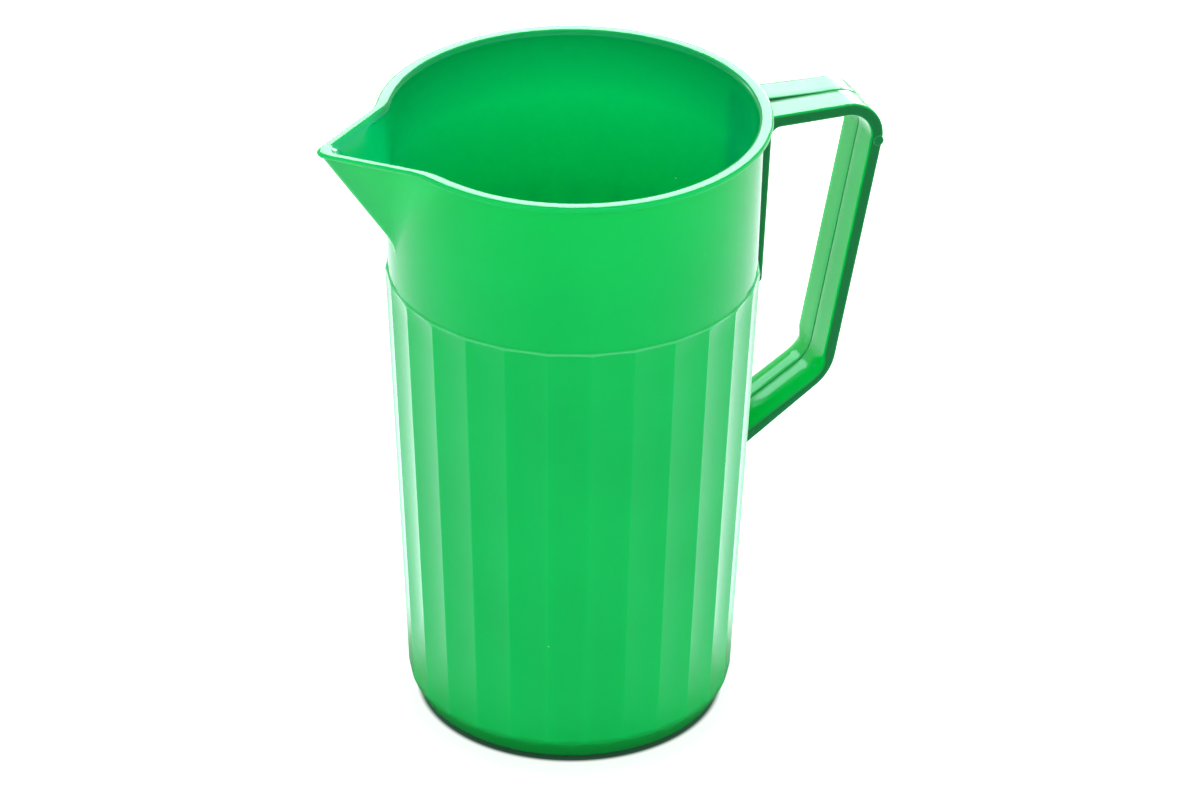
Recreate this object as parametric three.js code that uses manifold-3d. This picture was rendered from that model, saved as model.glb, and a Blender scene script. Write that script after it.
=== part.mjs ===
// Fluted plastic jug with a strap handle in two bonded halves.
// Millimetres, +Z up. The origin is the middle of the flat base.
// The spout points along -X and the handle stands out along +X.
import * as THREE from 'three';
import { mergeVertices } from 'three/addons/utils/BufferGeometryUtils.js';
import Module from 'manifold-3d';

const wasm = await Module();
wasm.setup();

// Body: heights up from the base plane, radii from the jug's axis
const jugHeight = 185;
const bandDepth = 46;
const bandTopRadius = 52.4;
const bandFootRadius = 51.5;
const stepLedge = 0.8;
const heelRadius = 46.5;
const heelHeight = 13;
const baseRadius = 41;
const wall = 2.1;
const floorThickness = 2.6;
const insideCornerRound = 8;

// Flutes: shallow hollows round the lower body, between sharp ridges
const fluteCount = 27;
const fluteDepth = 0.6;
const fluteEndDrop = 3;
const fluteRunout = 1;
const columnsPerFlute = 3;

// Rim bead: a rounded roll round the mouth and along the lip
const beadHeight = 2.2;
const beadReach = 2.6;
const beadRound = 0.9;
const beadOnSpout = 1.5;
const mouthRound = 1.7;

// Spout: two flat cheeks that meet on a sloping keel, under a lip that rises to a blunt nose
const spoutRootRise = 11.2;
const keelLean = THREE.MathUtils.degToRad(32.7);
const cheekAngle = THREE.MathUtils.degToRad(49);
const cheekBlend = 1.8;
const keelRound = 0.8;
const beadNose = 4;
const lipNose = 6.5;
const channelNose = 4;
const spoutLift = 0.9;
const liftFull = THREE.MathUtils.degToRad(28);
const liftEnd = THREE.MathUtils.degToRad(55);

// Handle: one bent strap, split on its middle plane
const strapWidth = 19.6;
const strapThickness = 3.6;
const strapEdgeRound = 0.7;
const armDrop = 5.1;
const armRootRise = 0.8;
const handleReach = 91;
const gripLean = THREE.MathUtils.degToRad(10.4);
const upperBend = 11;
const lowerBend = 14;
const lowerArmFoot = 78.2;
const lowerArmSlope = THREE.MathUtils.degToRad(35.6);
const lowerArmFlare = THREE.MathUtils.degToRad(2.5);
const footThickness = 2.2;
const footDrop = 11;
const footEndRound = 2;
const footCornerRound = 2.5;

// Seats: keys on the body and a tongue on the seam hold the halves in line
const seatClearance = 0.3;
const seamGap = 0.3;
const keyWidth = 6;
const keyShare = 0.4;
const keyEndInset = 5;
const lowerKeyShare = 0.5;
const tongueShare = 1 / 3;
const tongueRise = 1.5;
const tongueEndInset = 15;

// Cuts and joins run this far past the faces that they cross
const overrun = 4;

// Sizes that follow from the ones above
const rimRadius = bandTopRadius + beadReach;
const fluteTopRadius = bandFootRadius + stepLedge;
const stepHeight = jugHeight - bandDepth;
const beadFoot = jugHeight - beadHeight;
const spoutRootHeight = stepHeight + spoutRootRise;
const fluteFoot = heelHeight - fluteEndDrop;
const heelTurn = heelRadius - baseRadius;
const heelRound = (heelTurn ** 2 + heelHeight ** 2) / (2 * heelTurn);
const armTopHeight = jugHeight - armDrop;
const footBottom = stepHeight - footDrop;
const keyRise = footThickness * keyShare;
const tongueThickness = strapThickness * tongueShare;

const plasticColour = 0x12b455;
const columns = fluteCount * columnsPerFlute;
const columnAngle = (2 * Math.PI) / columns;

// Solids from three.js geometry, and back again
function toSolid(geometry) {
  const bare = new THREE.BufferGeometry();
  bare.setAttribute('position', geometry.getAttribute('position'));
  bare.setIndex(geometry.getIndex());
  const welded = mergeVertices(bare, 1e-4);
  const corners = welded.getIndex().array;
  const triangles = [];
  for (let i = 0; i < corners.length; i += 3) {
    const [a, b, c] = [corners[i], corners[i + 1], corners[i + 2]];
    if (a !== b && b !== c && c !== a) {
      triangles.push(a, b, c);
    }
  }
  const mesh = new wasm.Mesh({
    numProp: 3,
    vertProperties: new Float32Array(welded.getAttribute('position').array),
    triVerts: new Uint32Array(triangles),
  });
  return new wasm.Manifold(mesh);
}

function toMesh(solid, name) {
  const { vertProperties, triVerts } = solid.getMesh();
  const geometry = new THREE.BufferGeometry();
  geometry.setAttribute('position', new THREE.BufferAttribute(vertProperties, 3));
  geometry.setIndex(new THREE.BufferAttribute(triVerts, 1));
  geometry.computeVertexNormals();
  const material = new THREE.MeshStandardMaterial({
    color: plasticColour,
    roughness: 0.22,
    metalness: 0,
  });
  const mesh = new THREE.Mesh(geometry, material);
  mesh.name = name;
  return mesh;
}

// A block between two corners
function block(low, high) {
  const size = new THREE.Vector3().subVectors(high, low);
  const geometry = new THREE.BoxGeometry(size.x, size.y, size.z);
  const centre = new THREE.Vector3().addVectors(low, high).multiplyScalar(0.5);
  geometry.translate(centre.x, centre.y, centre.z);
  return toSolid(geometry);
}

// Radius of the smooth band above the step, and of the ridges below it
function bandRadius(height) {
  const share = (height - stepHeight) / (beadFoot - stepHeight);
  return bandFootRadius + share * (bandTopRadius - bandFootRadius);
}

function ridgeRadius(height) {
  const share = (height - heelHeight) / (stepHeight - heelHeight);
  return heelRadius + share * (fluteTopRadius - heelRadius);
}

// Radius of the heel, an arc that turns in from the wall down to the flat base
function heelOutline(height) {
  const below = heelHeight - height;
  return heelRadius - heelRound + Math.sqrt(heelRound ** 2 - below ** 2);
}

// Points on a quarter arc between two profile points, bulging towards the corner
function cornerArc(from, corner, to, steps) {
  const curve = new THREE.QuadraticBezierCurve(
    new THREE.Vector2(...from), new THREE.Vector2(...corner), new THREE.Vector2(...to));
  return curve.getPoints(steps);
}

// The wall's section, from the middle of the base up the outside and down the inside.
// flute is the share of the flute depth there, cheek the offset from the spout's outer faces,
// and nose the rounding radius where the two faces meet.
function wallStations() {
  const stations = [];
  const put = (points, flute, cheek, nose) => {
    points.forEach(({ x, y }) => stations.push({ radius: x, height: y, flute, cheek, nose }));
  };
  const at = (radius, height) => [new THREE.Vector2(radius, height)];

  put(at(0, 0), 0, 0, keelRound);
  const heelSteps = 5;
  for (let i = 0; i < heelSteps; i += 1) {
    const height = (i / heelSteps) * fluteFoot;
    put(at(heelOutline(height), height), 0, 0, keelRound);
  }
  put(at(heelOutline(fluteFoot), fluteFoot), 0, 0, keelRound);
  put(at(ridgeRadius(fluteFoot + fluteRunout), fluteFoot + fluteRunout), 1, 0, keelRound);
  put(at(ridgeRadius(stepHeight - stepLedge), stepHeight - stepLedge), 1, 0, keelRound);
  put(at(fluteTopRadius - stepLedge / 3, stepHeight - stepLedge / 3), 0, 0, keelRound);
  put(at(bandFootRadius, stepHeight + stepLedge / 3), 0, 0, keelRound);

  const bandRows = 10;
  const firstRow = spoutRootHeight - cheekBlend / Math.tan(keelLean);
  for (let i = 0; i <= bandRows; i += 1) {
    const height = firstRow + (i / bandRows) * (beadFoot - firstRow);
    put(at(bandRadius(height), height), 0, 0, keelRound);
  }

  const underBead = (keelRound + beadNose) / 2;
  put(at(rimRadius - beadRound / 2, beadFoot + beadRound / 4), 0, beadOnSpout / 2, underBead);
  put(at(rimRadius, beadFoot + beadRound), 0, beadOnSpout, beadNose);
  const lipArc = cornerArc([rimRadius, jugHeight - beadRound], [rimRadius, jugHeight],
    [rimRadius - beadRound, jugHeight], 2);
  lipArc.forEach((point) => {
    const inset = rimRadius - point.x;
    put([point], 0, beadOnSpout - inset, beadNose + (lipNose - beadNose) * (inset / beadRound));
  });

  const mouthRadius = bandTopRadius - wall;
  const lipInner = mouthRadius + mouthRound;
  put(at(lipInner, jugHeight), 0, mouthRound - wall, lipNose);
  const shallow = mouthRound / 3;
  put(at(mouthRadius + shallow, jugHeight - shallow), 0, shallow - wall, channelNose);
  put(at(mouthRadius, jugHeight - mouthRound), 0, -wall, channelNose);

  const insideRows = 7;
  const insideTop = jugHeight - mouthRound;
  for (let i = 1; i <= insideRows; i += 1) {
    const height = insideTop + (i / insideRows) * (firstRow - insideTop);
    put(at(bandRadius(height) - wall, height), 0, -wall, channelNose);
  }
  put(at(bandFootRadius - wall, stepHeight), 0, -wall, channelNose);

  const cornerTop = floorThickness + insideCornerRound;
  const floorEdge = ridgeRadius(cornerTop) - fluteDepth - wall;
  put(cornerArc([floorEdge, cornerTop], [floorEdge, floorThickness],
    [floorEdge - insideCornerRound, floorThickness], 3), 0, -wall, channelNose);
  put(at(0, floorThickness), 0, -wall, channelNose);
  return stations;
}

// Larger of two radii, with a soft blend where they are nearly equal
function softMax(a, b, blend) {
  const near = Math.max(blend - Math.abs(a - b), 0) / blend;
  return Math.max(a, b) + (near * near * blend) / 4;
}

// Radius of the spout at an angle from its middle plane: a rounded nose, then a flat cheek
function spoutRadius(angle, height, offset, nose) {
  if (angle > cheekAngle) {
    return 0;
  }
  const keel = bandRadius(spoutRootHeight) + (height - spoutRootHeight) * Math.tan(keelLean);
  const face = keel * Math.cos(cheekAngle) + offset;
  const centre = (face - nose) / Math.cos(cheekAngle);
  const noseX = centre + nose * Math.cos(cheekAngle);
  const noseY = nose * Math.sin(cheekAngle);
  if (angle < Math.atan2(noseY, noseX)) {
    return centre * Math.cos(angle) + Math.sqrt(nose ** 2 - (centre * Math.sin(angle)) ** 2);
  }
  return face / Math.cos(angle - cheekAngle);
}

// How far the lip is raised at an angle from the spout's middle plane
function lipLift(angle, height) {
  const share = (height - spoutRootHeight) / (jugHeight - spoutRootHeight);
  const fade = 1 - THREE.MathUtils.smoothstep(angle, liftFull, liftEnd);
  return spoutLift * fade * Math.max(share, 0);
}

// Revolve the wall's section, then press in the flutes and draw out the spout
function bodyShell() {
  const stations = wallStations();
  const profile = stations.map(({ radius, height }) => new THREE.Vector2(radius, height));
  const geometry = new THREE.LatheGeometry(profile, columns);
  const position = geometry.getAttribute('position');
  for (let column = 0; column <= columns; column += 1) {
    const fromSpout = (column % columns) * columnAngle;
    const azimuth = Math.PI + fromSpout;
    const spread = Math.min(fromSpout, 2 * Math.PI - fromSpout);
    const acrossFlute = ((column + 1) % columnsPerFlute) / columnsPerFlute;
    const hollow = 4 * acrossFlute * (1 - acrossFlute);
    stations.forEach(({ radius, height, flute, cheek, nose }, row) => {
      let reach = radius - flute * hollow * fluteDepth;
      if (height > stepHeight) {
        reach = softMax(reach, spoutRadius(spread, height, cheek, nose), cheekBlend);
      }
      const index = column * stations.length + row;
      const level = height + lipLift(spread, height);
      position.setXYZ(index, reach * Math.cos(azimuth), reach * Math.sin(azimuth), level);
    });
  }
  return toSolid(geometry);
}

// Straight lines in the handle's middle plane, as a point and a direction
function line(x, z, angle) {
  const direction = new THREE.Vector2(Math.cos(angle), Math.sin(angle));
  return { point: new THREE.Vector2(x, z), direction };
}

function shifted({ point, direction }, distance) {
  const aside = new THREE.Vector2(-direction.y, direction.x).multiplyScalar(distance);
  return { point: point.clone().add(aside), direction };
}

function crossing(first, second) {
  const between = second.point.clone().sub(first.point);
  const share = between.cross(second.direction) / first.direction.cross(second.direction);
  return first.point.clone().addScaledVector(first.direction, share);
}

// A closed outline through corners, each with its own rounding radius
function roundedOutline(corners) {
  const shape = new THREE.Shape();
  corners.forEach(({ at, round }, i) => {
    const before = corners[(i + corners.length - 1) % corners.length].at;
    const after = corners[(i + 1) % corners.length].at;
    const inward = before.clone().sub(at).normalize();
    const onward = after.clone().sub(at).normalize();
    const halfTurn = Math.acos(inward.dot(onward)) / 2;
    const setback = round / Math.tan(halfTurn);
    const start = at.clone().addScaledVector(inward, setback);
    const end = at.clone().addScaledVector(onward, setback);
    if (i === 0) {
      shape.moveTo(start.x, start.y);
    } else {
      shape.lineTo(start.x, start.y);
    }
    if (round > 0) {
      const middle = inward.clone().add(onward).normalize();
      const centre = at.clone().addScaledVector(middle, round / Math.sin(halfTurn));
      const startAngle = Math.atan2(start.y - centre.y, start.x - centre.x);
      const endAngle = Math.atan2(end.y - centre.y, end.x - centre.x);
      shape.absarc(centre.x, centre.y, round, startAngle, endAngle, inward.cross(onward) > 0);
    }
  });
  shape.closePath();
  return shape;
}

// The faces of the strap, each followed from the upper root round to the lower root
const downTheGrip = -Math.PI / 2 - gripLean;
const downTheArm = -Math.PI + lowerArmSlope;
const armTop = line(0, armTopHeight, 0);
const gripOuter = line(handleReach, armTopHeight, downTheGrip);
const lowerOuter = line(fluteTopRadius, lowerArmFoot, downTheArm);
const armUnder = shifted(armTop, -strapThickness);
const gripInner = shifted(gripOuter, -strapThickness);
const lowerCorner = crossing(gripInner, shifted(lowerOuter, -strapThickness));
const lowerInner = line(lowerCorner.x, lowerCorner.y, downTheArm - lowerArmFlare);
const bandLean = Math.atan2(bandTopRadius - bandFootRadius, beadFoot - stepHeight);
const footFace = line(bandFootRadius + footThickness, stepHeight, Math.PI / 2 - bandLean);

// The strap seen from the side, running past its seats into the body
function strapOutline(rootRise) {
  const rootX = bandFootRadius - overrun * 2;
  const insideBody = line(rootX, 0, Math.PI / 2);
  const bendSetback = upperBend * Math.tan(Math.PI / 4 + gripLean / 2);
  const armStart = new THREE.Vector2(handleReach - bendSetback - strapThickness, armTopHeight);
  const shoulder = new THREE.Vector2(bandTopRadius, armTopHeight + rootRise);
  const armRoot = new THREE.Vector2(rootX, armTopHeight + rootRise);
  const innerUpperBend = upperBend - strapThickness;
  const innerLowerBend = lowerBend - strapThickness;
  const footEnd = line(0, footBottom, 0);
  return roundedOutline([
    { at: armRoot, round: 0 },
    { at: crossing(insideBody, footEnd), round: 0 },
    { at: crossing(footFace, footEnd), round: footEndRound },
    { at: crossing(footFace, armUnder), round: footCornerRound },
    { at: crossing(armUnder, gripInner), round: innerUpperBend },
    { at: crossing(gripInner, lowerInner), round: innerLowerBend },
    { at: crossing(lowerInner, insideBody), round: 0 },
    { at: crossing(lowerOuter, insideBody), round: 0 },
    { at: crossing(lowerOuter, gripOuter), round: lowerBend },
    { at: crossing(gripOuter, armTop), round: upperBend },
    { at: armStart, round: 0 },
    { at: shoulder, round: 0 },
  ]);
}

// Extrude an outline of the handle's middle plane between two depths along Y
function acrossHandle(shape, fromY, toY, edgeRound) {
  const geometry = new THREE.ExtrudeGeometry(shape, {
    depth: toY - fromY - 2 * edgeRound,
    bevelEnabled: edgeRound > 0,
    bevelThickness: edgeRound,
    bevelSize: edgeRound,
    bevelOffset: -edgeRound,
    bevelSegments: 2,
    curveSegments: 7,
    steps: 1,
  });
  geometry.translate(0, 0, edgeRound - toY);
  geometry.rotateX(Math.PI / 2);
  return toSolid(geometry);
}

// The space that the body's outer wall takes from the handle, with the seat clearance
function bodyEnvelope() {
  const gap = seatClearance;
  const profile = [
    new THREE.Vector2(0, 0),
    new THREE.Vector2(ridgeRadius(0) + gap, 0),
    new THREE.Vector2(fluteTopRadius + gap, stepHeight),
    new THREE.Vector2(fluteTopRadius + gap, stepHeight + stepLedge),
    new THREE.Vector2(bandRadius(stepHeight + stepLedge) + gap, stepHeight + stepLedge),
    new THREE.Vector2(bandTopRadius + gap, beadFoot - gap),
    new THREE.Vector2(rimRadius + gap, beadFoot - gap),
    new THREE.Vector2(rimRadius + gap, jugHeight),
    new THREE.Vector2(0, jugHeight),
  ];
  const geometry = new THREE.LatheGeometry(profile, columns * 2);
  geometry.rotateX(Math.PI / 2);
  return toSolid(geometry);
}

// Keys that stand on the body and locate the handle; growth widens them into sockets
function upperKey(growth) {
  const bottom = stepHeight + keyEndInset;
  const top = armTopHeight - strapThickness - keyEndInset;
  const outer = bandRadius(top) + keyRise + growth;
  return block(
    new THREE.Vector3(bandFootRadius - wall / 2, -keyWidth / 2 - growth, bottom - growth),
    new THREE.Vector3(outer, keyWidth / 2 + growth, top + growth));
}

function lowerKey(growth) {
  const rootX = ridgeRadius(lowerArmFoot);
  const middle = shifted(lowerOuter, -strapThickness / 2);
  const height = crossing(middle, line(rootX, 0, Math.PI / 2)).y;
  const reach = (strapThickness * lowerKeyShare) / 2;
  return block(
    new THREE.Vector3(rootX - wall, -keyWidth / 2 - growth, height - reach - growth),
    new THREE.Vector3(rootX + 2 * reach + growth, keyWidth / 2 + growth, height + reach + growth));
}

// A tongue along the grip on the far half, and with growth its groove in the near half
function seamTongue(fromY, toY, growth) {
  const middle = shifted(gripOuter, -strapThickness / 2);
  const outer = shifted(middle, tongueThickness / 2 + growth);
  const inner = shifted(middle, -tongueThickness / 2 - growth);
  const bottom = line(0, lowerCorner.y + tongueEndInset - growth, 0);
  const top = line(0, armTopHeight - tongueEndInset + growth, 0);
  const corners = [[outer, bottom], [outer, top], [inner, top], [inner, bottom]];
  const shape = new THREE.Shape(corners.map(([side, end]) => crossing(side, end)));
  return acrossHandle(shape, fromY, toY, 0);
}

// Build the three pieces
const halfWidth = strapWidth / 2;
const seam = seamGap / 2;
const seats = bodyEnvelope().add(upperKey(seatClearance)).add(lowerKey(seatClearance));

function strapHalf(side, rootRise) {
  const low = side < 0 ? -halfWidth : -overrun;
  const high = side < 0 ? overrun : halfWidth;
  const strap = acrossHandle(strapOutline(rootRise), low, high, strapEdgeRound);
  const keepLow = side < 0 ? -halfWidth - overrun : seam;
  const keepHigh = side < 0 ? -seam : halfWidth + overrun;
  const room = block(
    new THREE.Vector3(0, keepLow, 0),
    new THREE.Vector3(handleReach + overrun, keepHigh, jugHeight));
  return strap.intersect(room).subtract(seats);
}

const body = bodyShell().add(upperKey(0)).add(lowerKey(0));
const groove = seamTongue(-seam - tongueRise - seatClearance, 0, seatClearance);
const nearHalf = strapHalf(-1, 0).subtract(groove);
const tongue = seamTongue(-seam - tongueRise, seam + overrun / 2, 0);
const farHalf = strapHalf(1, armRootRise).add(tongue);

const jug = new THREE.Group();
jug.add(
  toMesh(body, 'jug_body'),
  toMesh(nearHalf, 'handle_near_half'),
  toMesh(farHalf, 'handle_far_half'),
);

export default jug;
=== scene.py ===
import math

import bmesh
import bpy
import numpy as np
from mathutils import Matrix, Vector


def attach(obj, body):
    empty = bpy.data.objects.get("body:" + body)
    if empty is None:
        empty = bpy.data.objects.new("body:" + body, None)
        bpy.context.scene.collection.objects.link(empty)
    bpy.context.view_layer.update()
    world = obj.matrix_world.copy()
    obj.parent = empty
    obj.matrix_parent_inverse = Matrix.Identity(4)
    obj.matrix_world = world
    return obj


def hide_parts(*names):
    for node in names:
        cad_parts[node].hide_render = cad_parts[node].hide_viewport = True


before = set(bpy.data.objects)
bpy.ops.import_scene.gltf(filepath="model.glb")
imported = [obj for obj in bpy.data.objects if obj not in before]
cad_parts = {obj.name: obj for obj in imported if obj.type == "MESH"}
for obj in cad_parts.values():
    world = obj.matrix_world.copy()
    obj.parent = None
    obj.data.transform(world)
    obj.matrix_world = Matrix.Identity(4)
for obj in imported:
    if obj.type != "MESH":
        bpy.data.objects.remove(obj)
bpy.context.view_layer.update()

MM = 0.001

# Sizes of the body, in millimetres
JUG_HEIGHT = 185.7
STEP_HEIGHT = 139.0
RIM_RADIUS = 54.98
BAND_TOP_RADIUS = 52.4
BAND_FOOT_RADIUS = 51.5
FLUTE_TOP_RADIUS = 52.3
HEEL_RADIUS = 46.5
HEEL_HEIGHT = 13.0
HEEL_TOP = 9.9
HEEL_EDGE_RADIUS = 43.3
HEEL_EDGE_HEIGHT = 3.8
HEEL_CURVE = 1.3
FOOT_RADIUS = 37.2
WALL = 1.6
INSIDE_DRAFT = 0.7
FLOOR_THICKNESS = 2.6
INSIDE_CORNER = 8.0
FLUTE_COUNT = 27
FLUTE_DEPTH = 0.72
FLUTE_FADE = 35.0
FLUTE_FOOT_SHARE = 0.5
FLUTE_PHASE = 1 / 3
FLUTE_PITCH = 360.0 / FLUTE_COUNT

# Sizes of the rim and the spout, in millimetres and radians, with the spout's turn in degrees
BEAD_HEIGHT = 1.6
BEAD_FOOT = JUG_HEIGHT - BEAD_HEIGHT
BEAD_REACH = RIM_RADIUS - BAND_TOP_RADIUS
BEAD_ON_SPOUT = 0.9
BEAD_NOSE = 2.6
MOUTH_ROUND = 1.5
SPOUT_TURN = -1.5
SPOUT_ROOT = 152.3
SPOUT_WALL = 2.4
SPOUT_LIFT = 0.2
KEEL_LEAN = math.radians(33.8)
KEEL_ROUND = 1.1
LIP_NOSE = 4.5
CHANNEL_NOSE = 4.0
CHEEK_ANGLE = math.radians(51.5)
LIP_ANGLE = math.radians(49.5)
ROOT_BLEND = 2.0
CHEEK_BLEND = 5.0
LIP_BLEND = 1.8
CHANNEL_BLEND = 7.0
LIFT_FULL = math.radians(28)
LIFT_END = math.radians(55)

# Sizes of the handle, in millimetres and radians
STRAP_HALF = 9.8
STRAP_THICKNESS = 3.6
STRAP_EDGE = 0.7
SEAM_HALF = 0.15
SEAM_EDGE = 0.22
CAP_INSET = 0.12
SIDE_INSET = 0.15
SEAT = 0.06
SEAT_BLEND = 0.6
ARM_TOP = 179.9
ARM_ROOT_RISE = 0.8
SHOULDER_GAP = 1.0
HANDLE_REACH = 90.97
GRIP_LEAN = math.radians(10.4)
UPPER_BEND = 11.0
UPPER_SETBACK = UPPER_BEND * math.tan(math.pi / 4 + GRIP_LEAN / 2)
LOWER_BEND = 14.0
LOWER_FOOT = 78.2
LOWER_SLOPE = math.radians(35.6)
LOWER_FLARE = math.radians(2.5)
FOOT_THICKNESS = 2.2
FOOT_TAPER = math.radians(1.2)
FOOT_BOTTOM = 128.0
FOOT_END_ROUND = 1.6
FOOT_CORNER_ROUND = 2.5
ROLL_ACROSS = 5.5
ROLL_DEEP = 2.3
ROLL_ONSET = 2.0
GATE_RADIUS = 1.5
GATE_RISE = 0.3
GATE_ROUND = 0.12
GATE_ROOT = 0.9
GATE_INSET = 1.37
GATE_STEPS = 36

# How the meshes are divided and shaded
BASE_RINGS = (12.0, 24.0, 34.0, FOOT_RADIUS - 0.5)
FLOOR_RINGS = (26.0, 16.0, 7.0)
HEEL_CUT_TOP = HEEL_TOP + 0.5
SPOUT_START = STEP_HEIGHT + 1.0
ROUND_STEPS = 8
ROUND_TURNS = (0.0, 0.4, 0.8, 1.2, math.pi / 2)
FLUTE_SHARES = (
    0.0, 0.015, 0.04, 0.08, 0.15, 0.24, 0.33, 0.42, 0.5, 0.58, 0.67, 0.76, 0.85, 0.92, 0.96, 0.985)
KEEL_DEGREES = (0.0, 0.3, 0.65, 1.1, 1.7, 2.4, 3.3)
CLOSEST_DEGREES = 0.12
STRAP_SHARES = (0.3, 0.6, 0.85, 1.0)
SHARP_ANGLE = math.radians(42)

# Rows of the mesh on each stretch of the wall: first height, last height and count
HEEL_ROWS = (HEEL_EDGE_HEIGHT, HEEL_TOP - 2.2, 14)
HEEL_FINE_ROWS = (HEEL_TOP - 2.2, HEEL_TOP + 0.3, 11)
FLUTE_ROWS = (HEEL_TOP + 1.5, STEP_HEIGHT - 1.4, 24)
BAND_ROWS = (STEP_HEIGHT + 1.5, BEAD_FOOT - 0.5, 46)
INNER_BAND_ROWS = (JUG_HEIGHT - MOUTH_ROUND - 0.6, STEP_HEIGHT + 1.5, 44)
INNER_FOOT_ROWS = (STEP_HEIGHT, FLOOR_THICKNESS + INSIDE_CORNER, 20)

# The foot ring, as insets from its radius and heights
FOOT_SECTION = ((0.15, 0.08), (0.0, 0.4), (0.0, 2.9), (-0.08, 3.25), (-0.4, 3.42))

# The heel's lower edge, as insets from its radius and drops under its height
HEEL_EDGE_SECTION = ((0.55, 0.3), (0.25, 0.24), (0.06, 0.12), (0.0, 0.0))

# The step, as drops under its height, shares of its ledge and shares of the flute depth
STEP_SECTION = (
    (1.0, 0.0, 0.96), (0.7, 0.01, 0.85), (0.45, 0.04, 0.7), (0.26, 0.1, 0.55), (0.12, 0.2, 0.42),
    (0.04, 0.34, 0.32), (0.0, 0.5, 0.22), (0.0, 0.7, 0.1), (-0.04, 0.84, 0.04), (-0.12, 0.94, 0.0),
    (-0.28, 1.0, 0.0), (-0.6, 1.0, 0.0),
)

# The bead's fillet and side, then its rounded top, as shares of its reach and heights over its foot
BEAD_SIDE = (
    (0.02, -0.1), (0.08, -0.02), (0.3, 0.02), (0.6, 0.03), (0.85, 0.06), (0.95, 0.14), (0.99, 0.27),
    (1.0, 0.45),
)
BEAD_TOP = (
    (1.0, 0.85), (0.99, 1.1), (0.965, 1.27), (0.93, 1.4), (0.885, 1.49), (0.84, 1.55), (0.79, 1.59),
    (0.74, BEAD_HEIGHT),
)


def mixed(a, b, share):
    return a + share * (b - a)


def quarter_turns(first):
    return [step / ROUND_STEPS * math.pi / 2 for step in range(first, ROUND_STEPS + 1)]


# Body

def band_radius(z):
    return mixed(BAND_FOOT_RADIUS, BAND_TOP_RADIUS, (z - STEP_HEIGHT) / (BEAD_FOOT - STEP_HEIGHT))


def ridge_radius(z):
    return mixed(HEEL_RADIUS, FLUTE_TOP_RADIUS, (z - HEEL_HEIGHT) / (STEP_HEIGHT - HEEL_HEIGHT))


def heel_radius(z):
    """The heel, a cone with a slight swell that cuts off the flutes."""
    if z > HEEL_TOP:
        return ridge_radius(z)
    share = (HEEL_TOP - z) / (HEEL_TOP - HEEL_EDGE_HEIGHT)
    return mixed(ridge_radius(HEEL_TOP), HEEL_EDGE_RADIUS, share ** HEEL_CURVE)


def row(radius, height, flute=0.0, cheek=0.0, nose=KEEL_ROUND):
    """A ring of the body's mesh: radius, height, share of the flute depth, offset from the spout's outer
    faces, and the rounding radius of the spout's nose."""
    return radius, height, flute, cheek, nose


def foot_rows():
    """The base, the foot ring, which stands back under the heel's edge, and the heel."""
    rows = [row(radius, 0.0) for radius in BASE_RINGS]
    rows += [row(FOOT_RADIUS - inset, z) for inset, z in FOOT_SECTION]
    rows += [row(HEEL_EDGE_RADIUS - inset, HEEL_EDGE_HEIGHT - down) for inset, down in HEEL_EDGE_SECTION]
    for stretch in (HEEL_ROWS, HEEL_FINE_ROWS):
        rows += [row(heel_radius(z), z, 1.0) for z in np.linspace(*stretch)[1:]]
    return rows


def outer_rows():
    """The fluted wall, the step and the band."""
    ledge = FLUTE_TOP_RADIUS - BAND_FOOT_RADIUS
    rows = [row(ridge_radius(z), z, 1.0) for z in np.linspace(*FLUTE_ROWS)]
    for down, inset, flute in STEP_SECTION:
        rows.append(row(FLUTE_TOP_RADIUS - inset * ledge, STEP_HEIGHT - down, flute))
    return rows + [row(band_radius(z), z) for z in np.linspace(*BAND_ROWS)]


def rim_rows():
    """The bead, its flat top and the mouth's round. The spout's nose has its own rounding in each row."""
    top_share = 1.0 - BEAD_TOP[-1][0]
    section = [(share, up, mixed(KEEL_ROUND, BEAD_NOSE, share)) for share, up in BEAD_SIDE]
    section += [(share, up, mixed(BEAD_NOSE, LIP_NOSE, (1.0 - share) / top_share)) for share, up in BEAD_TOP]
    rows = []
    for share, up, nose in section:
        cheek = BEAD_ON_SPOUT - (1 - share) * BEAD_REACH
        rows.append(row(BAND_TOP_RADIUS + share * BEAD_REACH, BEAD_FOOT + up, 0.0, cheek, nose))
    for turn in quarter_turns(0):
        inset = MOUTH_ROUND * (1 - math.sin(turn))
        height = JUG_HEIGHT - MOUTH_ROUND * (1 - math.cos(turn))
        nose = mixed(CHANNEL_NOSE, LIP_NOSE, inset / MOUTH_ROUND)
        rows.append(row(BAND_TOP_RADIUS - WALL + inset, height, 0.0, inset - SPOUT_WALL, nose))
    return rows


def inner_rows():
    """The inside, smooth and slightly drawn in on the way down, with a rounded corner at the floor."""
    rows = []
    for z in np.linspace(*INNER_BAND_ROWS):
        draft = INSIDE_DRAFT * (BEAD_FOOT - z) / (BEAD_FOOT - STEP_HEIGHT)
        rows.append(row(band_radius(z) - WALL - draft, z, 0.0, -SPOUT_WALL, CHANNEL_NOSE))
    corner_top = FLOOR_THICKNESS + INSIDE_CORNER
    corner_radius = ridge_radius(corner_top) - FLUTE_DEPTH - WALL - INSIDE_DRAFT
    step_radius = BAND_FOOT_RADIUS - WALL - INSIDE_DRAFT
    for z in np.linspace(*INNER_FOOT_ROWS):
        rows.append(row(mixed(corner_radius, step_radius, (z - corner_top) / (STEP_HEIGHT - corner_top)), z))
    for turn in quarter_turns(1):
        radius = corner_radius - INSIDE_CORNER * (1 - math.cos(turn))
        rows.append(row(radius, corner_top - INSIDE_CORNER * math.sin(turn)))
    return rows + [row(radius, FLOOR_THICKNESS) for radius in FLOOR_RINGS]


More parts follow.
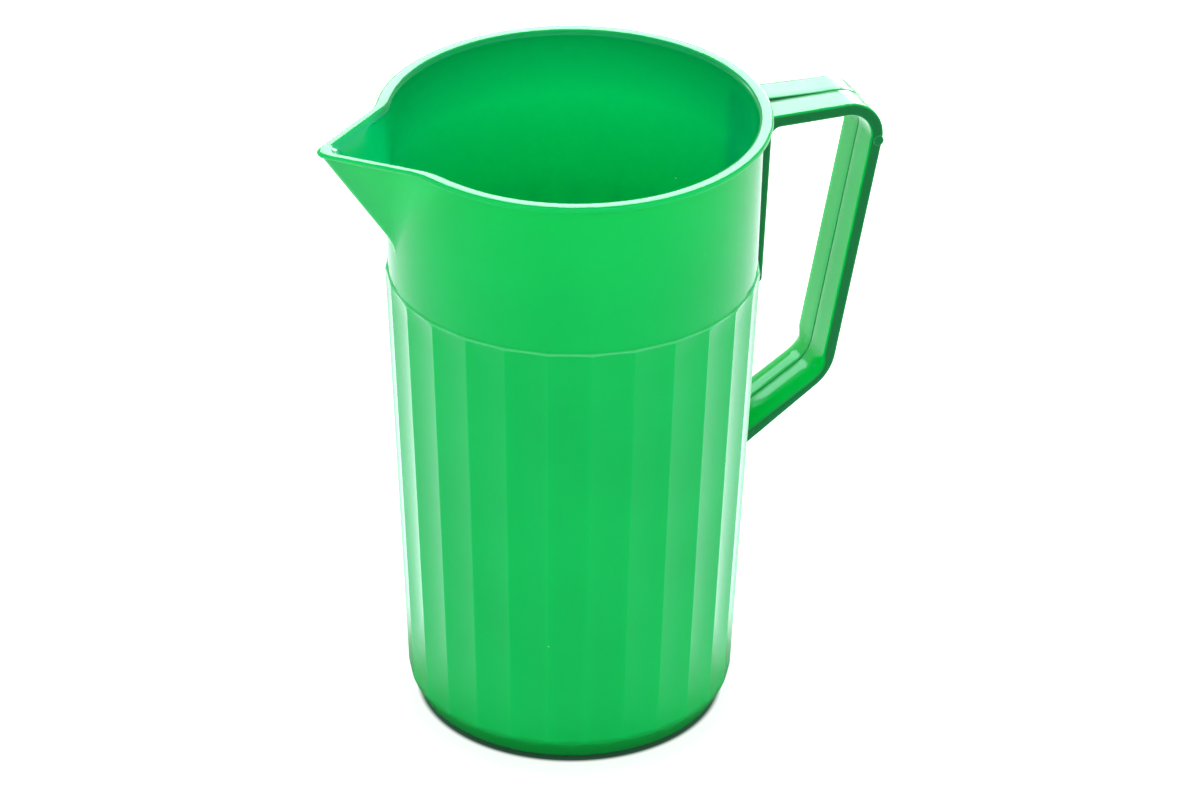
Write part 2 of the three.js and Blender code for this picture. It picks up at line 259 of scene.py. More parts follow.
def column_angles():
    """Degrees from the spout's middle plane: fine at each ridge of the flutes and at the spout's keel."""
    angles = [(k + share - FLUTE_PHASE) * FLUTE_PITCH for k in range(FLUTE_COUNT) for share in FLUTE_SHARES]
    for aside in KEEL_DEGREES:
        angles += [SPOUT_TURN + aside, SPOUT_TURN - aside]
    angles = sorted(angle % 360.0 for angle in angles)
    kept = [angles[0]]
    for angle in angles[1:]:
        if angle - kept[-1] > CLOSEST_DEGREES:
            kept.append(angle)
    return kept


def soft_max(a, b, blend):
    near = max(blend - abs(a - b), 0.0) / blend
    return max(a, b) + near * near * blend / 4


def eased(share):
    return share * share * (3 - 2 * share)


def spout_radius(angle, z, offset, nose):
    """A rounded nose on the spout's middle plane, then a flat cheek."""
    cheek = LIP_ANGLE if offset else CHEEK_ANGLE
    if angle > cheek:
        return 0.0
    keel = band_radius(SPOUT_ROOT) + (z - SPOUT_ROOT) * math.tan(KEEL_LEAN)
    face = keel * math.cos(cheek) + offset
    centre = (face - nose) / math.cos(cheek)
    if angle < math.atan2(nose * math.sin(cheek), centre + nose * math.cos(cheek)):
        return centre * math.cos(angle) + math.sqrt(nose * nose - (centre * math.sin(angle)) ** 2)
    return face / math.cos(angle - cheek)


def spout_blend(z, cheek):
    """How wide the fold between the wall and the spout is."""
    if math.isclose(cheek, -SPOUT_WALL):
        return CHANNEL_BLEND
    if cheek:
        return LIP_BLEND
    share = (z - SPOUT_ROOT) / (BEAD_FOOT - SPOUT_ROOT)
    return mixed(ROOT_BLEND, CHEEK_BLEND, min(max(share, 0.0), 1.0))


def lip_lift(angle, z):
    """How far the lip is raised towards the spout."""
    fade = min(max((angle - LIFT_FULL) / (LIFT_END - LIFT_FULL), 0.0), 1.0)
    share = max((z - SPOUT_ROOT) / (JUG_HEIGHT - SPOUT_ROOT), 0.0)
    return SPOUT_LIFT * (1 - eased(fade)) * share


def flute_hollow(degrees, z):
    """Depth of a flute, a shallow bow from ridge to ridge that fades towards the foot."""
    across = (degrees / FLUTE_PITCH + FLUTE_PHASE) % 1.0
    fade = min(mixed(FLUTE_FOOT_SHARE, 1.0, z / FLUTE_FADE), 1.0)
    return 4 * across * (1 - across) * FLUTE_DEPTH * fade


def body_mesh():
    rows = foot_rows() + outer_rows() + rim_rows() + inner_rows()
    columns = column_angles()
    count = len(columns)
    points = [(0.0, 0.0, 0.0)]
    for radius, z, flute, cheek, nose in rows:
        blend = spout_blend(z, cheek)
        for degrees in columns:
            aside = (degrees - SPOUT_TURN) % 360.0
            spread = math.radians(min(aside, 360.0 - aside))
            hollow = flute * flute_hollow(degrees, z)
            reach = min(radius, ridge_radius(z) - hollow) if z < HEEL_CUT_TOP else radius - hollow
            if z > SPOUT_START:
                reach = soft_max(reach, spout_radius(spread, z, cheek, nose), blend)
            turn = math.pi + math.radians(degrees)
            points.append((reach * math.cos(turn), reach * math.sin(turn), z + lip_lift(spread, z)))
    points.append((0.0, 0.0, FLOOR_THICKNESS))
    faces = []
    for k in range(count):
        n = (k + 1) % count
        faces.append((0, 1 + n, 1 + k))
        for ring in range(len(rows) - 1):
            low = 1 + ring * count
            faces.append((low + k, low + n, low + count + n, low + count + k))
        top = 1 + (len(rows) - 1) * count
        faces.append((top + k, top + n, len(points) - 1))
    return points, faces


# Handle, drawn in its middle plane (x, z) and lofted across it

def line(x, z, angle):
    return np.array((x, z)), np.array((math.cos(angle), math.sin(angle)))


def shifted(a_line, distance):
    point, direction = a_line
    return point + distance * np.array((-direction[1], direction[0])), direction


def cross2(a, b):
    return a[0] * b[1] - a[1] * b[0]


def crossing(first, second):
    share = cross2(second[0] - first[0], second[1]) / cross2(first[1], second[1])
    return first[0] + share * first[1]


ARM_FACE = line(0, ARM_TOP, 0)
GRIP_OUTER = line(HANDLE_REACH, ARM_TOP, -math.pi / 2 - GRIP_LEAN)
LOWER_OUTER = line(FLUTE_TOP_RADIUS, LOWER_FOOT, -math.pi + LOWER_SLOPE)
ARM_UNDER = shifted(ARM_FACE, -STRAP_THICKNESS)
GRIP_INNER = shifted(GRIP_OUTER, -STRAP_THICKNESS)
LOWER_CORNER = crossing(GRIP_INNER, shifted(LOWER_OUTER, -STRAP_THICKNESS))
LOWER_INNER = line(*LOWER_CORNER, -math.pi + LOWER_SLOPE - LOWER_FLARE)
BAND_LEAN = math.atan2(BAND_TOP_RADIUS - BAND_FOOT_RADIUS, BEAD_FOOT - STEP_HEIGHT)
FOOT_FACE = line(BAND_FOOT_RADIUS + FOOT_THICKNESS, STEP_HEIGHT, math.pi / 2 - BAND_LEAN - FOOT_TAPER)


def seat_radius(z):
    """Outside of the body under the handle's feet."""
    if z > STEP_HEIGHT + SEAT_BLEND:
        return band_radius(z) + SEAT
    if z > STEP_HEIGHT:
        share = (z - STEP_HEIGHT) / SEAT_BLEND
        return mixed(FLUTE_TOP_RADIUS, band_radius(z), share) + SEAT
    return ridge_radius(z) + SEAT


def seat_x(z, y):
    return math.sqrt(seat_radius(z) ** 2 - y * y)


def arc_points(before, corner, after, radius, steps):
    inward = (before - corner) / np.linalg.norm(before - corner)
    onward = (after - corner) / np.linalg.norm(after - corner)
    half = math.acos(float(np.clip(inward @ onward, -1, 1))) / 2
    middle = (inward + onward) / np.linalg.norm(inward + onward)
    centre = corner + middle * radius / math.sin(half)
    start = corner + inward * radius / math.tan(half)
    end = corner + onward * radius / math.tan(half)
    first = math.atan2(*(start - centre)[::-1])
    turn = math.atan2(*(end - centre)[::-1]) - first
    turn = (turn + math.pi) % (2 * math.pi) - math.pi
    angles = [first + turn * i / steps for i in range(steps + 1)]
    return [centre + radius * np.array((math.cos(a), math.sin(a))) for a in angles]


def between(a, b, steps):
    """Points inside the stretch from a to b."""
    return [a + (b - a) * i / steps for i in range(1, steps)]


def strap_outline(rise):
    """The strap from the side, as runs of (points, roll, guide). Roll says how far the strap's edge has
    grown into the lower arm's wide round, from 0 to 1, and None lets it grow along the run. A guide marks
    the corner of a seat on the body: the direction that it slides along, and the direction of its inset.
    The runs between the first two corners, and between the last two, lie on the body."""
    root_top = ARM_TOP + rise
    foot_end = line(0, FOOT_BOTTOM, 0)
    foot_corner = crossing(FOOT_FACE, foot_end)
    arm_corner = crossing(FOOT_FACE, ARM_UNDER)
    upper_inner = crossing(ARM_UNDER, GRIP_INNER)
    lower_inner = crossing(GRIP_INNER, LOWER_INNER)
    root_line = line(ridge_radius(LOWER_FOOT) + SEAT, 0, math.pi / 2)
    root_inner = crossing(LOWER_INNER, root_line)
    root_outer = crossing(LOWER_OUTER, root_line)
    lower_outer = crossing(LOWER_OUTER, GRIP_OUTER)
    upper_outer = crossing(GRIP_OUTER, ARM_FACE)
    arm_start = np.array((HANDLE_REACH - UPPER_SETBACK - STRAP_THICKNESS, ARM_TOP))
    shoulder = np.array((BAND_TOP_RADIUS + SHOULDER_GAP, root_top))
    arm_end = np.array((seat_radius(root_top), root_top))
    foot_seat = np.array((seat_radius(FOOT_BOTTOM), FOOT_BOTTOM))

    foot = arc_points(foot_seat, foot_corner, arm_corner, FOOT_END_ROUND, 7)
    corner = arc_points(foot_corner, arm_corner, upper_inner, FOOT_CORNER_ROUND, 8)
    bend = arc_points(arm_corner, upper_inner, lower_inner, UPPER_BEND - STRAP_THICKNESS, 16)
    low_bend = arc_points(upper_inner, lower_inner, root_inner, LOWER_BEND - STRAP_THICKNESS, 14)
    low_turn = arc_points(root_outer, lower_outer, upper_outer, LOWER_BEND, 16)
    top_turn = arc_points(lower_outer, upper_outer, arm_start, UPPER_BEND, 20)
    level = np.array((1.0, 0.0))
    upward = np.array((0.0, 1.0))
    inner_inset = shifted(LOWER_INNER, 1.0)[0] - LOWER_INNER[0]
    outer_inset = LOWER_OUTER[0] - shifted(LOWER_OUTER, 1.0)[0]
    return [
        ([arm_end], 0.0, (level, -upward)),
        (between(arm_end, foot_seat, 60), 0.0, None),
        ([foot_seat], 0.0, (level, upward)),
        (foot, 0.0, None),
        (between(foot[-1], corner[0], 14), 0.0, None),
        (corner, 0.0, None),
        (between(corner[-1], bend[0], 8), 0.0, None),
        (bend, 0.0, None),
        (between(bend[-1], low_bend[0], 24), 0.0, None),
        (low_bend, None, None),
        (between(low_bend[-1], root_inner, 10), 1.0, None),
        ([root_inner], 1.0, (LOWER_INNER[1], inner_inset)),
        (between(root_inner, root_outer, 10), 0.0, None),
        ([root_outer], 0.0, (LOWER_OUTER[1], outer_inset)),
        (between(root_outer, low_turn[0], 10), 0.0, None),
        (low_turn, 0.0, None),
        (between(low_turn[-1], top_turn[0], 24), 0.0, None),
        (top_turn, 0.0, None),
        (between(top_turn[-1], arm_start, 3), 0.0, None),
        ([arm_start], 0.0, None),
        (between(arm_start, shoulder, 8), 0.0, None),
        ([shoulder], 0.0, None),
    ]


def strap_rings(rolls):
    """Distances from the middle plane and insets of the outline, from the seam out to the side."""
    count = len(rolls)
    across = mixed(STRAP_EDGE, ROLL_ACROSS, eased(rolls))
    deep = mixed(STRAP_EDGE, ROLL_DEEP, eased(rolls))
    seam_end = SEAM_HALF + SEAM_EDGE
    rings = [(np.full(count, SEAM_HALF), np.full(count, SEAM_EDGE + CAP_INSET))]
    for turn in ROUND_TURNS:
        reach = SEAM_HALF + SEAM_EDGE * (1 - math.cos(turn))
        rings.append((np.full(count, reach), np.full(count, SEAM_EDGE * (1 - math.sin(turn)))))
    for share in STRAP_SHARES:
        rings.append((mixed(seam_end, STRAP_HALF - across, share), np.zeros(count)))
    for turn in quarter_turns(1):
        rings.append((STRAP_HALF - across * (1 - math.sin(turn)), deep * (1 - math.cos(turn))))
    rings.append((np.full(count, STRAP_HALF), deep + SIDE_INSET))
    return rings


def half_mesh(side, rise):
    """One half of the strap: rings of the outline from the seam out to the side, closed by flat caps."""
    points, rolls, guides = [], [], []
    for group, roll, guide in strap_outline(rise):
        for i, point in enumerate(group):
            points.append(point)
            rolls.append(min(ROLL_ONSET * i / (len(group) - 1), 1.0) if roll is None else roll)
            guides.append(guide)
    points = np.array(points)
    count = len(points)
    tangent = np.roll(points, -1, axis=0) - np.roll(points, 1, axis=0)
    tangent /= np.linalg.norm(tangent, axis=1)[:, None]
    inward = np.column_stack((-tangent[:, 1], tangent[:, 0]))
    ends = [i for i, guide in enumerate(guides) if guide]
    for i in ends:
        inward[i] = guides[i][1]

    rings = strap_rings(np.array(rolls))
    verts = []
    for reach, inset in rings:
        ring = points + inward * inset[:, None]
        for i in ends:
            slide = guides[i][0]
            for _ in range(3):
                ring[i] = ring[i] + slide * (seat_x(ring[i][1], reach[i]) - ring[i][0]) / slide[0]
        for first, last in ((ends[0], ends[1]), (ends[2], ends[3])):
            for i in range(first + 1, last):
                z = mixed(ring[first][1], ring[last][1], (i - first) / (last - first))
                ring[i] = (seat_x(z, reach[i]), z)
        verts += [(x, side * y, z) for (x, z), y in zip(ring, reach)]
    faces = []
    for r in range(len(rings) - 1):
        low = r * count
        for k in range(count):
            n = (k + 1) % count
            faces.append((low + k, low + count + k, low + count + n, low + n))
    faces.append(tuple(range(count)))
    last = (len(rings) - 1) * count
    faces.append(tuple(reversed(range(last, last + count))))
    if side > 0:
        faces = [tuple(reversed(face)) for face in faces]
    return verts, faces


def gate_mark():
    """The round scar that the mould's gate left on the near side, where the upper bend meets the grip."""
    x, z = shifted(GRIP_OUTER, -GATE_INSET)[0] + UPPER_SETBACK * GRIP_OUTER[1]
    profile = [(GATE_RADIUS, -GATE_ROOT)]
    for turn in ROUND_TURNS:
        radius = GATE_RADIUS - GATE_ROUND * (1 - math.cos(turn))
        profile.append((radius, GATE_RISE - GATE_ROUND * (1 - math.sin(turn))))
    verts = []
    for radius, out in profile:
        for k in range(GATE_STEPS):
            turn = 2 * math.pi * k / GATE_STEPS
            verts.append((x + radius * math.cos(turn), -STRAP_HALF - out, z + radius * math.sin(turn)))
    top = len(verts) - 1
    faces = [tuple(range(GATE_STEPS)), tuple(range(top, top - GATE_STEPS, -1))]
    for ring in range(len(profile) - 1):
        low = ring * GATE_STEPS
        high = low + GATE_STEPS
        for k in range(GATE_STEPS):
            n = (k + 1) % GATE_STEPS
            faces.append((low + k, low + n, high + n, high + k))
    return verts, faces


def joined(first, second):
    """Two meshes as one."""
    shift = len(first[0])
    return first[0] + second[0], first[1] + [tuple(i + shift for i in face) for face in second[1]]


def add_piece(name, shape, material, node):
    verts, faces = shape
    mesh = bpy.data.meshes.new(name)
    mesh.from_pydata([tuple(c * MM for c in v) for v in verts], [], faces)
    bm = bmesh.new()
    bm.from_mesh(mesh)
    bmesh.ops.recalc_face_normals(bm, faces=bm.faces)
    bm.to_mesh(mesh)
    bm.free()
    mesh.shade_smooth()
    mesh.set_sharp_from_angle(angle=SHARP_ANGLE)
    mesh.materials.append(material)
    piece = bpy.data.objects.new(name, mesh)
    bpy.context.scene.collection.objects.link(piece)
    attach(piece, "root")
    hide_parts(node)
    return piece


# Shader nodes

def node_tree(owner):
    owner.use_nodes = True
    tree = owner.node_tree
    tree.nodes.clear()
    return tree


def feed(tree, socket, value):
    """Links a socket to an output, or sets its value."""
    if isinstance(value, bpy.types.NodeSocket):
        tree.links.new(value, socket)
    else:
        socket.default_value = value


def ramp(tree, source, low, high, start=0.0, end=1.0):
    """From start to end as the source goes from low to high, and level past them."""
    made = tree.nodes.new("ShaderNodeMapRange")
    made.clamp = True
    tree.links.new(source, made.inputs["Value"])
    for name, value in (("From Min", low), ("From Max", high), ("To Min", start), ("To Max", end)):
        made.inputs[name].default_value = value
    return made.outputs["Result"]


def number(tree, operation, *values):
    made = tree.nodes.new("ShaderNodeMath")
    made.operation = operation
    for socket, value in zip(made.inputs, values):
        feed(tree, socket, value)
    return made.outputs[0]


def times(tree, a, b):
    return number(tree, "MULTIPLY", a, b)


def plus(tree, a, b):
    return number(tree, "ADD", a, b)


def vector(tree, operation, *values):
    made = tree.nodes.new("ShaderNodeVectorMath")
    made.operation = operation
    for socket, value in zip(made.inputs, values):
        feed(tree, socket, value)
    return made.outputs["Vector" if operation in ("MULTIPLY", "NORMALIZE") else "Value"]


def parts_of(tree, source):
    made = tree.nodes.new("ShaderNodeSeparateXYZ")
    tree.links.new(source, made.inputs[0])
    return made.outputs


def noise(tree, place, scale, detail):
    made = tree.nodes.new("ShaderNodeTexNoise")
    for name, value in (("Vector", place), ("Scale", scale), ("Detail", detail)):
        feed(tree, made.inputs[name], value)
    return made.outputs["Fac"]


def blend_colour(tree, factor, a, b):
    made = tree.nodes.new("ShaderNodeMix")
    made.data_type = "RGBA"
    for socket, value in ((made.inputs["Factor"], factor), (made.inputs[6], a), (made.inputs[7], b)):
        feed(tree, socket, value)
    return made.outputs[2]


# Plastics: colours, places in metres and amounts

BODY_DEEP = (0.001, 0.65, 0.12, 1.0)
BODY_FRESH = (0.0015, 0.69, 0.13, 1.0)
HANDLE_DEEP = (0.001, 0.64, 0.115, 1.0)
HANDLE_FRESH = (0.0015, 0.68, 0.125, 1.0)
# Painted shade on the handle's faces that look along Y
HANDLE_SIDE_SHADE = (0.0005, 0.22, 0.032, 1.0)
# Painted highlight along the step's edge
STEP_HIGHLIGHT_PALE = (0.3, 0.95, 0.5, 1.0)
# Painted light on the inner wall, and painted shade up to the rim inside
INNER_LIT_GREEN = (0.001, 0.74, 0.28, 1.0)
INNER_RIM_SHADE_GREEN = (0.001, 0.43, 0.12, 1.0)
# Painted shade on the heel
HEEL_SHADE_GREEN = (0.001, 0.42, 0.055, 1.0)
MARK_PALE = (0.62, 0.86, 0.7, 1.0)
GLOSS_TINT = (0.4, 1.0, 1.0, 1.0)

# Where the painted highlight along the step's edge runs, and how strong it is
STEP_HIGHLIGHT_HEIGHT = (STEP_HEIGHT - 0.2) * MM
STEP_HIGHLIGHT_HALF = 0.3 * MM
STEP_HIGHLIGHT_RADII = (50.3 * MM, 51.0 * MM)
STEP_HIGHLIGHT_AMOUNT = 0.3
INNER_TURN = (0.0, -30.0 * MM)
# Heights and places of the painted shade near the rim inside, weaker in the spout
INNER_RIM_SHADE_HEIGHTS = (166.0 * MM, 185.0 * MM)
SPOUT_PLACES = (-55.0 * MM, -47.0 * MM)
SPOUT_SHADE_SHARE = 0.15
# Heights of the painted shade on the heel, and its added roughness
HEEL_SHADE_HEIGHTS = (10.5 * MM, 8.5 * MM)
HEEL_ROUGHNESS = 0.3
# How far a face must look along Y to get the painted shade
SIDE_SHADE_TURN = (0.3, 0.9)

CLOUD_SCALE = 26.0
CLOUD_RANGE = (0.35, 0.65)
STREAK_SCALE = (1100.0, 1100.0, 350.0)
STREAK_RANGE = (0.7, 0.8)
WORN_SCALE = 40.0
WORN_RANGE = (0.6, 0.75)
SPECK_SCALE = 95.0
SPECK_RANGE = (0.035, 0.02)
SPECK_PICK = (0.86, 0.88)
RUB_AMOUNT = 0.1
SPECK_AMOUNT = 0.5
RIPPLE_SCALE = 70.0
RIPPLE_HEIGHT = 0.06
MARK_HEIGHT = 0.05
BUMP_STRENGTH = 0.25
BUMP_DISTANCE = 1.0 * MM
ROUGHNESS = 0.08
CLOUD_ROUGHNESS = 0.06
MARK_ROUGHNESS = 0.4
IOR = 1.45
SCATTER_RADIUS = (0.3, 1.0, 0.9)
SCATTER_SCALE = 4.0 * MM


def body_painted_light_and_shade(tree, coordinates, colour):
    """Painted light and shade: the edge of the step carries a painted highlight, a pale line; the inner wall
    is painted brighter and bluer as painted light and deepens up to the rim as painted shade, less so in the
    spout;
    and the heel is painted darker as painted shade, and duller. Gives the colour and the added roughness."""
    place = coordinates.outputs["Object"]
    x, _, z = parts_of(tree, place)
    flat = vector(tree, "MULTIPLY", place, (1.0, 1.0, 0.0))

    # Painted highlight: a pale line along the step's edge
    at_step = number(tree, "COMPARE", z, STEP_HIGHLIGHT_HEIGHT, STEP_HIGHLIGHT_HALF)
    outside = ramp(tree, vector(tree, "LENGTH", flat), *STEP_HIGHLIGHT_RADII)
    step_highlight = times(tree, times(tree, at_step, outside), STEP_HIGHLIGHT_AMOUNT)
    colour = blend_colour(tree, step_highlight, colour, STEP_HIGHLIGHT_PALE)

    # Painted light: the inner wall brighter and bluer; painted shade: deeper up to the rim, less so in the
    # spout
    inside = ramp(tree, vector(tree, "DOT_PRODUCT", coordinates.outputs["Normal"], flat), *INNER_TURN)
    off_spout = ramp(tree, x, *SPOUT_PLACES, SPOUT_SHADE_SHARE, 1.0)
    rim_shade = times(tree, ramp(tree, z, *INNER_RIM_SHADE_HEIGHTS), off_spout)
    colour = blend_colour(tree, inside, colour, blend_colour(tree, rim_shade, INNER_LIT_GREEN, INNER_RIM_SHADE_GREEN))

    # Painted shade: the heel darker, and rougher
    heel_shade_zone = ramp(tree, z, *HEEL_SHADE_HEIGHTS)
    return blend_colour(tree, heel_shade_zone, colour, HEEL_SHADE_GREEN), times(tree, heel_shade_zone, HEEL_ROUGHNESS)


def handle_painted_shade(tree, coordinates, colour):
    """Painted shade: the faces that look along Y are painted deeper in colour, standing in for the strap
    looking darker through its width.
    """
    _, aside, _ = parts_of(tree, coordinates.outputs["Normal"])
    # Painted shade on the faces that look along Y
    side_shade = ramp(tree, times(tree, aside, aside), *SIDE_SHADE_TURN)
    return blend_colour(tree, side_shade, colour, HANDLE_SIDE_SHADE), None


def rub_marks(tree, place):
    """Short thin streaks, denser in some places."""
    stretch = tree.nodes.new("ShaderNodeMapping")
    stretch.inputs["Scale"].default_value = STREAK_SCALE
    tree.links.new(place, stretch.inputs["Vector"])
    streaks = ramp(tree, noise(tree, stretch.outputs["Vector"], 1.0, 2.0), *STREAK_RANGE)
    return times(tree, streaks, ramp(tree, noise(tree, place, WORN_SCALE, 1.0), *WORN_RANGE))


def dust_specks(tree, place):
    """A few small pale specks."""
    cells = tree.nodes.new("ShaderNodeTexVoronoi")
    cells.inputs["Scale"].default_value = SPECK_SCALE
    tree.links.new(place, cells.inputs["Vector"])
    split = tree.nodes.new("ShaderNodeSeparateColor")
    tree.links.new(cells.outputs["Color"], split.inputs["Color"])
    picked = ramp(tree, split.outputs[0], *SPECK_PICK)
    return times(tree, ramp(tree, cells.outputs["Distance"], *SPECK_RANGE), picked)


def plastic(name, deep, fresh, light_and_shade):
    """Glossy moulded plastic: flow clouds in the colour, faint ripples, fine rubs and a little dust, with
    the painted light and shade and the added roughness that the function passed in gives.
    """
    material = bpy.data.materials.new(name)
    tree = node_tree(material)
    coordinates = tree.nodes.new("ShaderNodeTexCoord")
    place = coordinates.outputs["Object"]

    clouds = noise(tree, place, CLOUD_SCALE, 3.0)
    colour = blend_colour(tree, ramp(tree, clouds, *CLOUD_RANGE), deep, fresh)
    # Painted light and shade, and added roughness, from the function passed in
    colour, rougher = light_and_shade(tree, coordinates, colour)
    rubs = times(tree, rub_marks(tree, place), RUB_AMOUNT)
    marks = plus(tree, rubs, times(tree, dust_specks(tree, place), SPECK_AMOUNT))
    rough = plus(tree, times(tree, marks, MARK_ROUGHNESS), ROUGHNESS)
    rough = plus(tree, times(tree, clouds, CLOUD_ROUGHNESS), rough)
    if rougher is not None:
        rough = plus(tree, rough, rougher)

    ripples = times(tree, noise(tree, place, RIPPLE_SCALE, 2.0), RIPPLE_HEIGHT)
    bump = tree.nodes.new("ShaderNodeBump")
    bump.inputs["Strength"].default_value = BUMP_STRENGTH
    bump.inputs["Distance"].default_value = BUMP_DISTANCE
    tree.links.new(plus(tree, ripples, times(tree, marks, MARK_HEIGHT)), bump.inputs["Height"])

    shader = tree.nodes.new("ShaderNodeBsdfPrincipled")
    tree.links.new(blend_colour(tree, marks, colour, MARK_PALE), shader.inputs["Base Color"])
    tree.links.new(rough, shader.inputs["Roughness"])
    tree.links.new(bump.outputs["Normal"], shader.inputs["Normal"])
    shader.inputs["IOR"].default_value = IOR
    shader.inputs["Specular Tint"].default_value = GLOSS_TINT
    shader.inputs["Subsurface Weight"].default_value = 1.0
    shader.inputs["Subsurface Radius"].default_value = SCATTER_RADIUS
    shader.inputs["Subsurface Scale"].default_value = SCATTER_SCALE
    out = tree.nodes.new("ShaderNodeOutputMaterial")
    tree.links.new(shader.outputs["BSDF"], out.inputs["Surface"])
    return material


# Pieces. The handle is left out of the body's mirror image, as in the photograph

body_plastic = plastic("body_plastic", BODY_DEEP, BODY_FRESH, body_painted_light_and_shade)
handle_plastic = plastic("handle_plastic", HANDLE_DEEP, HANDLE_FRESH, handle_painted_shade)
near_shape = joined(half_mesh(-1, 0.0), gate_mark())
far_shape = half_mesh(1, ARM_ROOT_RISE)

add_piece("body", body_mesh(), body_plastic, "jug_body")
near_half = add_piece("near_half", near_shape, handle_plastic, "handle_near_half")
far_half = add_piece("far_half", far_shape, handle_plastic, "handle_far_half")
near_half.visible_glossy = False
far_half.visible_glossy = False


# Stage: a wide pale floor, soft light from above and behind, and the photograph's camera

# Places here are in metres, set as the photograph sees them and turned with the view
VIEW_TURN = math.radians(20.5)
TURN = Matrix.Rotation(-VIEW_TURN, 3, "Z")
WHITE = (1.0, 1.0, 1.0, 1.0)

FLOOR_HALF = 3.0
FLOOR_STEPS = 12
FLOOR_DROP = 0.0002
FLOOR_PALE = (0.88, 0.88, 0.88, 1.0)
FLOOR_SHADED = (0.12, 0.3, 0.2, 1.0)
SHADED_RADII = (0.045, 0.065)

STRAIGHT_LIFT = 0.9
UNDER_MIDDLE = TURN @ Vector((0.0, 0.0032, 0.0))
UNDER_RADII = (0.043, 0.0444)
MIRROR_COLOUR = (0.85, 0.98, 1.08, 1.0)
MIRROR_RADII = (0.058, 0.075)
MIRROR_AHEAD = (0.9, -0.4)
MIRROR_LIFT = 1.1
MIRROR_FADE = (0.35, 0.15)
MIRROR_FAR_SHARE = 0.38
TO_CAMERA = TURN @ Vector((0.0, -1.0, 0.0))

SKY_RISE = (0.9, 0.3)
SKY_OVERHEAD = 0.27
SKY_AROUND = 0.93
FRONT_WAY = TURN @ Vector((0.0, -0.64, 0.77))
FRONT_RANGE = (0.5, 0.95)
FRONT_FILL = 0.35

# Name, place, width, height and watts of each softbox
SOFTBOXES = (
    ("back_softbox", (0.05, 1.05, 0.72), 0.55, 0.27, 3.6),
    ("side_softbox", (0.3, 1.1, 0.36), 0.28, 0.45, 3.4),
    ("left_softbox", (-1.0, 1.0, 0.8), 0.38, 0.36, 2.0),
)
SOFTBOX_AIM = TURN @ Vector((0.0, 0.0, 0.15))

# The camera fitted to the photograph, with angles in radians
CAMERA_PLACE = TURN @ Vector((0.0, -1.511, 0.9679))
CAMERA_PAN = 0.0053
CAMERA_ROLL = 0.0107
CAMERA_TILT = 0.5239
FOCAL_PIXELS = 6185.0
PHOTO_WIDTH = 1200.0
SENSOR_WIDTH = 36.0


def background_lift(tree, place, apart):
    """What is added for rays that look at the background, straight and by way of a mirror or glass. Straight
    rays see the shade under the base, and white round it. The mirrored floor is bright at both sides, and
    dim towards the camera, far away and close round the base."""
    path = tree.nodes.new("ShaderNodeLightPath").outputs
    round_base = ramp(tree, vector(tree, "DISTANCE", place, UNDER_MIDDLE), *UNDER_RADII)
    straight = times(tree, times(tree, path["Is Camera Ray"], round_base), STRAIGHT_LIFT)

    ahead = vector(tree, "DOT_PRODUCT", vector(tree, "NORMALIZE", place), TO_CAMERA)
    beside = ramp(tree, ahead, *MIRROR_AHEAD, 0.0, MIRROR_LIFT)
    beside = times(tree, beside, ramp(tree, apart, *MIRROR_FADE, MIRROR_FAR_SHARE, 1.0))
    mirrored = plus(tree, path["Is Glossy Ray"], path["Is Transmission Ray"])
    mirrored = times(tree, times(tree, mirrored, ramp(tree, apart, *MIRROR_RADII)), beside)
    return (straight, WHITE), (mirrored, MIRROR_COLOUR)


def floor_material():
    material = bpy.data.materials.new("floor_white")
    tree = node_tree(material)
    place = tree.nodes.new("ShaderNodeTexCoord").outputs["Object"]
    apart = vector(tree, "LENGTH", place)
    shader = tree.nodes.new("ShaderNodeBsdfDiffuse")
    colour = blend_colour(tree, ramp(tree, apart, *SHADED_RADII), FLOOR_SHADED, FLOOR_PALE)
    tree.links.new(colour, shader.inputs["Color"])
    surface = shader.outputs[0]
    for strength, colour in background_lift(tree, place, apart):
        lift = tree.nodes.new("ShaderNodeEmission")
        lift.inputs["Color"].default_value = colour
        tree.links.new(strength, lift.inputs["Strength"])
        both = tree.nodes.new("ShaderNodeAddShader")
        tree.links.new(surface, both.inputs[0])
        tree.links.new(lift.outputs[0], both.inputs[1])
        surface = both.outputs[0]
    out = tree.nodes.new("ShaderNodeOutputMaterial")
    tree.links.new(surface, out.inputs["Surface"])
    return material


def make_floor():
    marks = [mixed(-FLOOR_HALF, FLOOR_HALF, i / FLOOR_STEPS) for i in range(FLOOR_STEPS + 1)]
    verts = [(x, y, -FLOOR_DROP) for x in marks for y in marks]
    faces = []
    for i in range(FLOOR_STEPS):
        for j in range(FLOOR_STEPS):
            a = i * (FLOOR_STEPS + 1) + j
            faces.append((a, a + FLOOR_STEPS + 1, a + FLOOR_STEPS + 2, a + 1))
    mesh = bpy.data.meshes.new("floor")
    mesh.from_pydata(verts, [], faces)
    mesh.materials.append(floor_material())
    floor = bpy.data.objects.new("floor", mesh)
    bpy.context.scene.collection.objects.link(floor)


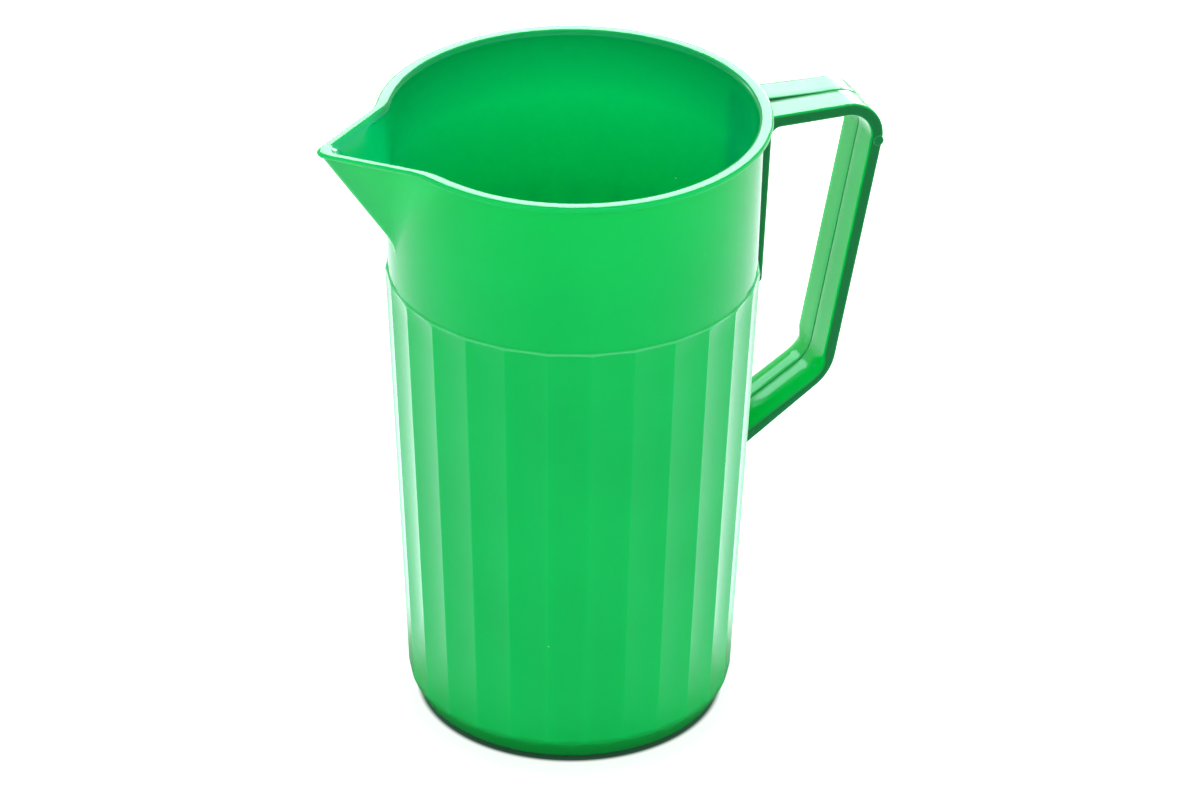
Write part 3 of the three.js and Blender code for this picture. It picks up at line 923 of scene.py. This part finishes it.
def make_world():
    """A plain white sky, dimmer overhead, with some fill from above the camera."""
    world = bpy.data.worlds.new("studio")
    bpy.context.scene.world = world
    tree = node_tree(world)
    toward = tree.nodes.new("ShaderNodeTexCoord").outputs["Generated"]
    _, _, rise = parts_of(tree, toward)
    around = ramp(tree, rise, *SKY_RISE, SKY_OVERHEAD, SKY_AROUND)
    front = ramp(tree, vector(tree, "DOT_PRODUCT", toward, FRONT_WAY), *FRONT_RANGE)
    sky = tree.nodes.new("ShaderNodeBackground")
    sky.inputs["Color"].default_value = WHITE
    tree.links.new(plus(tree, around, times(tree, front, FRONT_FILL)), sky.inputs["Strength"])
    out = tree.nodes.new("ShaderNodeOutputWorld")
    tree.links.new(sky.outputs[0], out.inputs["Surface"])


def make_softbox(name, place, width, height, watts):
    light = bpy.data.lights.new(name, "AREA")
    light.shape = "RECTANGLE"
    light.size = width
    light.size_y = height
    light.energy = watts
    lamp = bpy.data.objects.new(name, light)
    bpy.context.scene.collection.objects.link(lamp)
    lamp.location = TURN @ Vector(place)
    lamp.rotation_euler = (SOFTBOX_AIM - lamp.location).to_track_quat("-Z", "Y").to_euler()


def make_camera():
    level = math.cos(CAMERA_TILT)
    forward = Vector((math.sin(CAMERA_PAN) * level, math.cos(CAMERA_PAN) * level, -math.sin(CAMERA_TILT)))
    right = Vector((math.cos(CAMERA_PAN), -math.sin(CAMERA_PAN), 0.0))
    up = right.cross(forward)
    rolled_right = right * math.cos(CAMERA_ROLL) + up * math.sin(CAMERA_ROLL)
    rolled_up = up * math.cos(CAMERA_ROLL) - right * math.sin(CAMERA_ROLL)
    axes = Matrix((TURN @ rolled_right, TURN @ rolled_up, TURN @ -forward)).transposed()
    lens = bpy.data.cameras.new("camera")
    lens.sensor_fit = "HORIZONTAL"
    lens.sensor_width = SENSOR_WIDTH
    lens.lens = SENSOR_WIDTH * FOCAL_PIXELS / PHOTO_WIDTH
    lens.clip_start = 0.05
    lens.clip_end = 50.0
    camera = bpy.data.objects.new("camera", lens)
    bpy.context.scene.collection.objects.link(camera)
    camera.matrix_world = Matrix.Translation(CAMERA_PLACE) @ axes.to_4x4()
    bpy.context.scene.camera = camera


make_floor()
make_world()
for softbox in SOFTBOXES:
    make_softbox(*softbox)
make_camera()
bpy.context.scene.view_settings.view_transform = "Standard"
